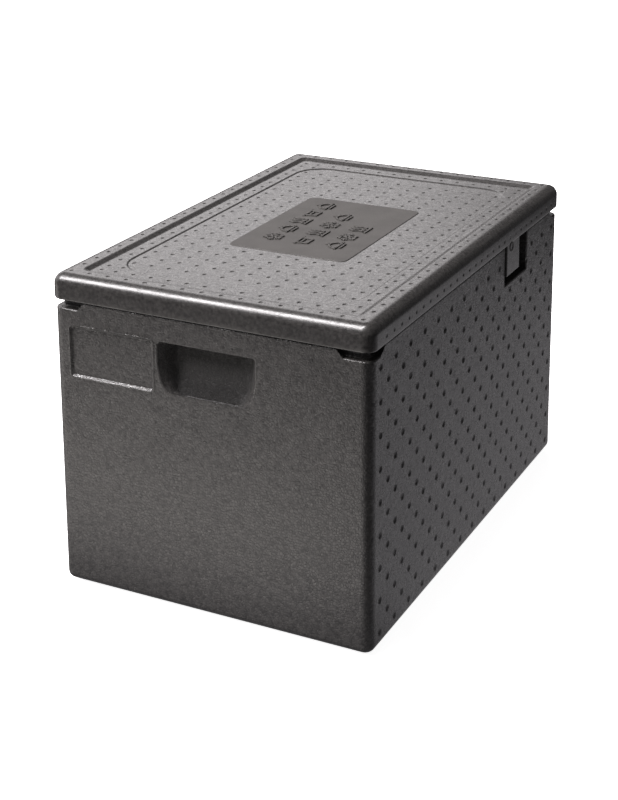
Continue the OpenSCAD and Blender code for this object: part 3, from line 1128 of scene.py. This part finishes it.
def floor_material(stage):
    """Pale floor. The light that it throws on the carrier is stronger in front than elsewhere."""
    material = bpy.data.materials.new("pale_floor")
    material.use_nodes = True
    tree = material.node_tree
    tree.nodes.clear()
    place = add(tree, "ShaderNodeTexCoord").outputs["Object"]
    split = add(tree, "ShaderNodeSeparateXYZ", [("Vector", place)])
    along = split.outputs[1]
    past_end = ramp_between(tree, along, -0.28, -0.50)
    ahead = maths(tree, "MULTIPLY", past_end, ramp_between(tree, along, -1.05, -0.45))
    ahead = maths(tree, "MULTIPLY", ahead, ramp_between(tree, split.outputs[0], 0.30, 0.05))
    centred = vector_maths(tree, "ADD", place, (-0.1, -0.3, 0.0)).outputs[0]
    away = vector_maths(tree, "LENGTH", centred).outputs["Value"]
    near_by = ramp_between(tree, away, 1.35, 0.6)
    behind = maths(tree, "MULTIPLY", ramp_between(tree, along, -0.42, -0.12), near_by)
    behind = maths(tree, "MULTIPLY_ADD", behind, stage.far * 0.85, stage.far * 0.15)
    bounce = maths(tree, "MULTIPLY_ADD", ahead, stage.near, behind)
    tint = blend_colours(tree, ahead, (1.0, 0.965, 1.0), (1.0, 0.955, 0.905))
    seen = add(tree, "ShaderNodeLightPath").outputs["Is Camera Ray"]
    pale = add(
        tree,
        "ShaderNodeBsdfPrincipled",
        [
            ("Base Color", (*stage.floor, 1.0)),
            ("Roughness", 0.85),
            ("Specular IOR Level", 0.1),
            ("Emission Color", (1.0, 1.0, 1.0, 1.0)),
            ("Emission Strength", 0.92),
        ],
    )
    thrown = add(tree, "ShaderNodeEmission", [("Color", tint), ("Strength", bounce)])
    mix = add(tree, "ShaderNodeMixShader", [(0, seen), (1, thrown.outputs[0]), (2, pale.outputs[0])])
    finish = add(tree, "ShaderNodeOutputMaterial")
    tree.links.new(mix.outputs[0], finish.inputs["Surface"])
    return material


def make_world(stage):
    """Room light: a dim room with soft panels in it. The room itself looks white."""
    world = bpy.data.worlds.new("room")
    world.use_nodes = True
    tree = world.node_tree
    tree.nodes.clear()
    view = add(tree, "ShaderNodeTexCoord").outputs["Generated"]
    total = stage.room
    for turn, rise, wide, tall, strength in (
        (141, 25, 18, 11, stage.back),
        (52, 57, 7, 25, stage.top),
        (100, 10, 26, 20, stage.left),
        (32, 50, 30, 10, stage.front),
    ):
        total = maths(tree, "ADD", light_panel(tree, view, turn, rise, wide, tall, strength), total)
    seen = add(tree, "ShaderNodeLightPath").outputs["Is Camera Ray"]
    lit = add(tree, "ShaderNodeBackground", [("Color", (1.0, 0.965, 0.975, 1.0)), ("Strength", total)])
    plain = add(tree, "ShaderNodeBackground", [("Color", (1.0, 1.0, 1.0, 1.0)), ("Strength", 1.0)])
    mix = add(tree, "ShaderNodeMixShader", [(0, seen), (1, lit.outputs[0]), (2, plain.outputs[0])])
    finish = add(tree, "ShaderNodeOutputWorld")
    tree.links.new(mix.outputs[0], finish.inputs["Surface"])
    return world


def make_stage(scene):
    """Pale floor, room light and camera."""
    stage = scene.carrier_stage
    bm = bmesh.new()
    bmesh.ops.create_grid(bm, x_segments=1, y_segments=1, size=14.0)
    floor = new_piece("stage_floor", bm, floor_material(stage))
    scene.world = make_world(stage)
    scene.view_settings.view_transform = "Standard"
    lens = bpy.data.cameras.new("camera")
    camera = bpy.data.objects.new("camera", lens)
    scene.collection.objects.link(camera)
    camera.location = CAMERA_PLACE
    azimuth = math.radians(CAMERA_TURN)
    drop = math.radians(CAMERA_DROP)
    level = math.cos(drop)
    away = Vector((math.sin(azimuth) * level, -math.cos(azimuth) * level, math.sin(drop)))
    camera.rotation_euler = away.to_track_quat("Z", "Y").to_euler()
    lens.sensor_fit = "AUTO"
    lens.sensor_width = 36.0
    lens.lens = CAMERA_LENS
    lens.shift_x, lens.shift_y = CAMERA_SHIFT
    lens.clip_end = 60.0
    scene.camera = camera


class CARRIER_OT_body(bpy.types.Operator):
    """Builds the carrier's foam body"""

    bl_idname = "carrier.body"
    bl_label = "Carrier body"

    def execute(self, context):
        piece = make_body(context.scene)
        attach(piece, "body")
        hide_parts("body")
        return {"FINISHED"}


class CARRIER_OT_lid(bpy.types.Operator):
    """Builds the carrier's foam lid"""

    bl_idname = "carrier.lid"
    bl_label = "Carrier lid"

    def execute(self, context):
        piece = make_lid(context.scene)
        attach(piece, "lid")
        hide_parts("lid")
        return {"FINISHED"}


class CARRIER_OT_marks(bpy.types.Operator):
    """Builds the raised pictograms on the lid's panel"""

    bl_idname = "carrier.marks"
    bl_label = "Lid pictograms"

    def execute(self, context):
        piece = make_marks(context.scene)
        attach(piece, "lid")
        return {"FINISHED"}


class CARRIER_OT_stage(bpy.types.Operator):
    """Sets up the floor, the room light and the camera"""

    bl_idname = "carrier.stage"
    bl_label = "Stage"

    def execute(self, context):
        make_stage(context.scene)
        return {"FINISHED"}


class CARRIER_PT_panel(bpy.types.Panel):
    """Lists the carrier's pieces"""

    bl_idname = "CARRIER_PT_panel"
    bl_label = "Insulated Food Carrier"
    bl_space_type = "VIEW_3D"
    bl_region_type = "UI"
    bl_category = "Carrier"

    def draw(self, context):
        for operator in OPERATORS:
            self.layout.operator(operator.bl_idname)


OPERATORS = (CARRIER_OT_stage, CARRIER_OT_body, CARRIER_OT_lid, CARRIER_OT_marks)
GROUPS = {
    "carrier_body": CarrierBodySizes,
    "carrier_ends": CarrierEndSizes,
    "carrier_dents": CarrierDentSizes,
    "carrier_lid": CarrierLidSizes,
    "carrier_foam": CarrierFoam,
    "carrier_stage": CarrierStage,
}


def register():
    """Adds the carrier's classes and settings."""
    for group in (*GROUPS.values(), *OPERATORS, CARRIER_PT_panel):
        bpy.utils.register_class(group)
    for name, group in GROUPS.items():
        setattr(bpy.types.Scene, name, PointerProperty(type=group))


def unregister():
    """Removes the carrier's classes and settings."""
    for name in GROUPS:
        delattr(bpy.types.Scene, name)
    for group in (CARRIER_PT_panel, *reversed(OPERATORS), *reversed(tuple(GROUPS.values()))):
        bpy.utils.unregister_class(group)


def main():
    """Builds everything."""
    register()
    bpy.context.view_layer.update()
    bpy.ops.carrier.stage()
    bpy.ops.carrier.body()
    bpy.ops.carrier.lid()
    bpy.ops.carrier.marks()


if __name__ == "__main__":
    main()
